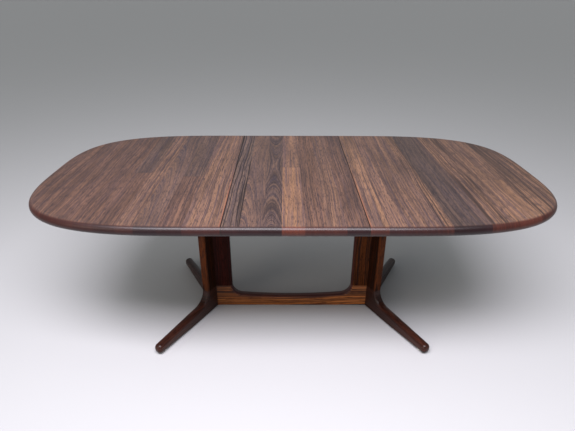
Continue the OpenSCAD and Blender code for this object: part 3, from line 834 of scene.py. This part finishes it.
# %% Stretcher
sag_centre = floor_gap + stretcher_height + sag_radius
corner_x = inner_x - corner_radius
corner_turn = math.degrees(math.asin(corner_x / (sag_radius - corner_radius)))
face_x = axis_x - mitre
lower_radius = 0.004
stretcher_low = [Vector((-face_x, floor_gap)), Vector((face_x, floor_gap)), Vector((face_x, upright_foot))]
stretcher_top = (arc((corner_x, upright_foot), corner_radius, 0, corner_turn - 90, 16)
    + arc((0, sag_centre), sag_radius, corner_turn - 90, -corner_turn - 90, 28)[1:-1]
    + arc((-corner_x, upright_foot), corner_radius, -corner_turn - 90, -180, 16))
stretcher_corners = stretcher_low + stretcher_top + [Vector((-face_x, upright_foot))]
stretcher_radii = [lower_radius, 0, 0] + [upright_radius] * (len(stretcher_top) - 1) + [0, 0]
stretcher_points = [Vector((math.copysign(mitre, c.x), 0)) if abs(abs(c.x) - face_x) < 1e-6
    else Vector((0, 0)) for c in stretcher_corners]
stretcher_board = make_board("stretcher_board", stretcher_corners, stretcher_radii, member, standing(0, 0),
    frame_wood, points=stretcher_points)
put(stretcher_board, "base", "frame_wood", "stretcher")

# %% [markdown]
# ## Screws and bolts
# Under the top, brass wood screws hold the runners, battens and cleats, and steel bolts
# hold the rails and bearers. All of one kind are the same turned piece, so they are
# instances: the frame's own screws give the places, a seed turns each slot its own way as a
# hand driver leaves it, and the shank is stretched to the length that the frame has there.

# %% Turned shapes
def turned(name, rings, segments=24):
    turns = [2 * math.pi * i / segments for i in range(segments)]
    points, faces = [], []
    for radius, height in rings:
        points += [(radius(a) * math.cos(a), radius(a) * math.sin(a), height) for a in turns]
    for k in range(len(rings) - 1):
        for i in range(segments):
            j = (i + 1) % segments
            low, high = k * segments, (k + 1) * segments
            faces.append((low + i, low + j, high + j, high + i))
    faces.append(tuple(reversed(range(segments))))
    faces.append(tuple(range((len(rings) - 1) * segments, len(rings) * segments)))
    mesh = bpy.data.meshes.new(name)
    mesh.from_pydata(points, [], faces)
    turn_outwards(mesh)
    return bpy.data.objects.new(name, mesh)


def round_ring(radius):
    return lambda a: radius


def slot_ring(half_slot, reach):
    return lambda a: min(half_slot / max(abs(math.sin(a)), 1e-6), reach)


def hexagon_ring(across_flats):
    return lambda a: across_flats / 2 / math.cos(a % (math.pi / 3) - math.pi / 6)


screw_radius, screw_head_height = 0.00225, 0.0027
screw_slot = slot_ring(0.0006, 0.0037)
screw_head = turned("screw_head", [(screw_slot, 0.0012), (screw_slot, 0), (round_ring(0.0044), 0),
    (round_ring(0.0045), 0.0002), (round_ring(screw_radius), screw_head_height)])
screw_shank = turned("screw_shank", [(round_ring(screw_radius), 0), (round_ring(screw_radius), 0.85),
    (round_ring(0.0003), 1)], 12)
bolt_radius, bolt_head_height = 0.004, 0.004
bolt_key = hexagon_ring(0.005)
bolt_head = turned("bolt_head", [(bolt_key, 0.0022), (bolt_key, 0.0002), (round_ring(0.0052), 0),
    (round_ring(0.0068), 0.0006), (round_ring(0.0078), 0.0018), (round_ring(0.008), 0.003),
    (round_ring(0.008), bolt_head_height), (round_ring(bolt_radius), bolt_head_height)])
bolt_shank = turned("bolt_shank", [(round_ring(bolt_radius), 0), (round_ring(bolt_radius), 0.97),
    (round_ring(0.0033), 1)], 16)
print("turned a screw and a bolt")

# %% Fastener tree
def make_fastener_tree():
    tree, given, result = new_tree("fasteners", "GeometryNodeTree", (
        ("INPUT", "Geometry", "Places"), ("INPUT", "Object", "Head"), ("INPUT", "Object", "Shank"),
        ("INPUT", "Float", "Head Height"), ("INPUT", "Float", "Tip Over"), ("INPUT", "Int", "Seed"),
        ("INPUT", "Material", "Metal"), ("OUTPUT", "Geometry", "Fasteners")))
    turn = add(tree, "FunctionNodeRandomValue", {"Min": 0.0, "Max": math.pi, "Seed": given["Seed"]},
        data_type="FLOAT").outputs["Value"]
    facing = combined(tree, given["Tip Over"], 0, turn)
    length = add(tree, "GeometryNodeInputNamedAttribute", {"Name": "length"}, data_type="FLOAT").outputs[0]
    shank_length = calc(tree, "SUBTRACT", length, given["Head Height"])
    joined = add(tree, "GeometryNodeJoinGeometry")
    for label, size, lift in (("Head", None, 0.0), ("Shank", combined(tree, 1, 1, shank_length),
            given["Head Height"])):
        shape = add(tree, "GeometryNodeObjectInfo", {"Object": given[label]}).outputs["Geometry"]
        made = add(tree, "GeometryNodeInstanceOnPoints", {"Points": given["Places"], "Instance": shape,
            "Rotation": facing, "Scale": size}).outputs[0]
        made = add(tree, "GeometryNodeTranslateInstances", {"Instances": made,
            "Translation": combined(tree, 0, 0, lift)}).outputs[0]
        tree.links.new(made, joined.inputs[0])
    group = add(tree, "GeometryNodeRealizeInstances", [joined.outputs[0]]).outputs[0]
    group = add(tree, "GeometryNodeSetMaterial", {"Geometry": group, "Material": given["Metal"]}).outputs[0]
    tree.links.new(group, result["Fasteners"])
    return tree


fastener_tree = make_fastener_tree()
print("the fastener tree has", len(fastener_tree.nodes), "nodes")

# %% Metals
def worn_metal(name, colour, shade, rough):
    material, tree, shader = new_material(name)
    shader.inputs["Metallic"].default_value = 1.0
    place = add(tree, "ShaderNodeTexCoord").outputs["Object"]
    stain = noise(tree, place, 420, 3)
    tree.links.new(mixed(tree, smooth(tree, stain, 0.35, 0.7), (*colour, 1), (*shade, 1)),
        shader.inputs["Base Color"])
    tree.links.new(smooth(tree, stain, 0.3, 0.7, rough, rough + 0.2), shader.inputs["Roughness"])
    turning = noise(tree, vector_calc(tree, "MULTIPLY", place, (900, 900, 4000)), 1, 1)
    relief = add(tree, "ShaderNodeBump", {"Strength": 0.15, "Distance": 0.0002, "Height": turning})
    tree.links.new(relief.outputs[0], shader.inputs["Normal"])
    return material


brass = worn_metal("screw_brass", (0.62, 0.46, 0.20), (0.34, 0.22, 0.09), 0.28)
steel = worn_metal("bolt_steel", (0.52, 0.52, 0.54), (0.26, 0.26, 0.28), 0.25)
print("brass and steel")

# %% Screws and bolts in place
def fastener_spots(node, reach=0.02):
    spots = []
    for vertex in nodes[node].data.vertices:
        near = [s for s in spots if (s["middle"] - vertex.co.xy).length < reach]
        if near:
            near[0]["points"].append(vertex.co.copy())
        else:
            spots.append({"middle": vertex.co.xy.copy(), "points": [vertex.co.copy()]})
    found = []
    for spot in spots:
        low = np.min(spot["points"], axis=0)
        high = np.max(spot["points"], axis=0)
        found.append(((low[0] + high[0]) / 2, (low[1] + high[1]) / 2, low[2], high[2]))
    return found


def fasten(name, node, body, slot, head, shank, head_height, metal, seed, head_up=False):
    spots = fastener_spots(node)
    mesh = bpy.data.meshes.new(name)
    mesh.from_pydata([(x, y, high if head_up else low) for x, y, low, high in spots], [], [])
    lengths = mesh.attributes.new("length", "FLOAT", "POINT")
    lengths.data.foreach_set("value", [high - low for x, y, low, high in spots])
    group = bake(bpy.data.objects.new(name, mesh), fastener_tree, {"Head": head, "Shank": shank,
        "Head Height": head_height, "Tip Over": math.pi if head_up else 0.0, "Seed": seed, "Metal": metal})
    group.data.set_sharp_from_angle(angle=sharp_turn)
    put(group, body, slot, node)
    print(name, len(spots), "pieces")


screw = (screw_head, screw_shank, screw_head_height, brass)
bolt = (bolt_head, bolt_shank, bolt_head_height, steel)
fasten("left_brass_screws", "left_top_screws", "left_half", "brass_screws", *screw, 3)
fasten("right_brass_screws", "right_top_screws", "right_half", "brass_screws", *screw, 5)
fasten("leaf_brass_screws", "leaf_screws", "loose_leaf", "brass_screws", *screw, 7)
fasten("rail_steel_bolts", "rail_bolts", "base", "steel_bolts", *bolt, 9)
fasten("bearer_steel_bolts", "bearer_bolts", "base", "steel_bolts", *bolt, 11, head_up=True)

# %% [markdown]
# ## Parts that the frame already has right
# Rails, runners, battens, cleats, stops and bearers are sawn straight, so their shapes in
# the frame are the real ones. They get a wood of their own and a fine bevel, because no
# planed arris is knife-sharp. The grain runs along each part's length. The figure itself
# runs across the table, so a mapping turns it for the parts that lie along the table.

# %% Woods of the working parts
def plain_wood(name, tint, dark, streaks, lies_across, seed):
    material, tree, shader = new_material(name)
    place = add(tree, "ShaderNodeTexCoord").outputs["Object"]
    turn = 0.0 if lies_across else math.pi / 2
    place = add(tree, "ShaderNodeMapping", {"Vector": place, "Rotation": (0, 0, turn)}).outputs[0]
    deep = tuple(0.5 * c for c in dark)
    figure = wood_figure(tree, place, (*tint, 1), (*dark, 1), (*deep, 1), streaks, 0.1, seed)
    lacquer(tree, shader, figure, 0.48, 0.62, 0.35, 0.3)
    return material


beech = ((0.42, 0.25, 0.13), (0.27, 0.145, 0.072), 0.0)
stained = ((0.115, 0.042, 0.022), (0.042, 0.016, 0.010), 0.4)
runner_wood = plain_wood("runner_beech", *beech, False, 0.21)
batten_wood = plain_wood("batten_beech", *beech, True, 0.67)
bearer_wood = plain_wood("stained_bearer_wood", *stained, True, 0.39)
dowel_wood = plain_wood("dowel_beech", *beech, True, 0.93)
print("four woods for the working parts")

# %% Glide plastic
nylon_tone = (0.62, 0.61, 0.57)
scuffed_tone = (0.40, 0.38, 0.34)


def glide_material():
    material, tree, shader = plain_surface("glide_nylon", nylon_tone, 0.5)
    place = add(tree, "ShaderNodeTexCoord").outputs["Object"]
    scuff = smooth(tree, noise(tree, place, 260, 3), 0.4, 0.75)
    tree.links.new(mixed(tree, scuff, (*nylon_tone, 1), (*scuffed_tone, 1)),
        shader.inputs["Base Color"])
    tree.links.new(smooth(tree, scuff, 0.0, 1.0, 0.42, 0.65), shader.inputs["Roughness"])
    relief = add(tree, "ShaderNodeBump", {"Strength": 0.2, "Distance": 0.0003, "Height": scuff})
    tree.links.new(relief.outputs[0], shader.inputs["Normal"])
    return material


nylon = glide_material()
print("nylon ready")

# %% Finish of the working parts
def dress(node, material, bevel=0.0):
    part = nodes[node]
    part.data.materials.clear()
    part.data.materials.append(material)
    if bevel:
        part.modifiers.new("weld", "WELD").merge_threshold = touching
        rounding = part.modifiers.new("bevel", "BEVEL")
        rounding.width = bevel
        rounding.segments = 2
        rounding.limit_method = "ANGLE"
        rounding.angle_limit = math.radians(40)


fine_bevel, bearer_bevel = 0.0008, 0.002
for side in ("left", "right"):
    for place in ("front", "back"):
        dress(side + "_" + place + "_runner", runner_wood, fine_bevel)
        dress(side + "_" + place + "_stop", runner_wood, fine_bevel)
    dress(side + "_end_batten", batten_wood, fine_bevel)
    dress("leaf_" + side + "_cleat", batten_wood, fine_bevel)
    dress(side + "_bearer", bearer_wood, bearer_bevel)
for place in ("front", "back"):
    dress(place + "_rail", runner_wood, fine_bevel)
dress("foot_dowels", dowel_wood)
dress("frame_dowels", dowel_wood)
dress("foot_glides", nylon)
print("dressed the working parts")
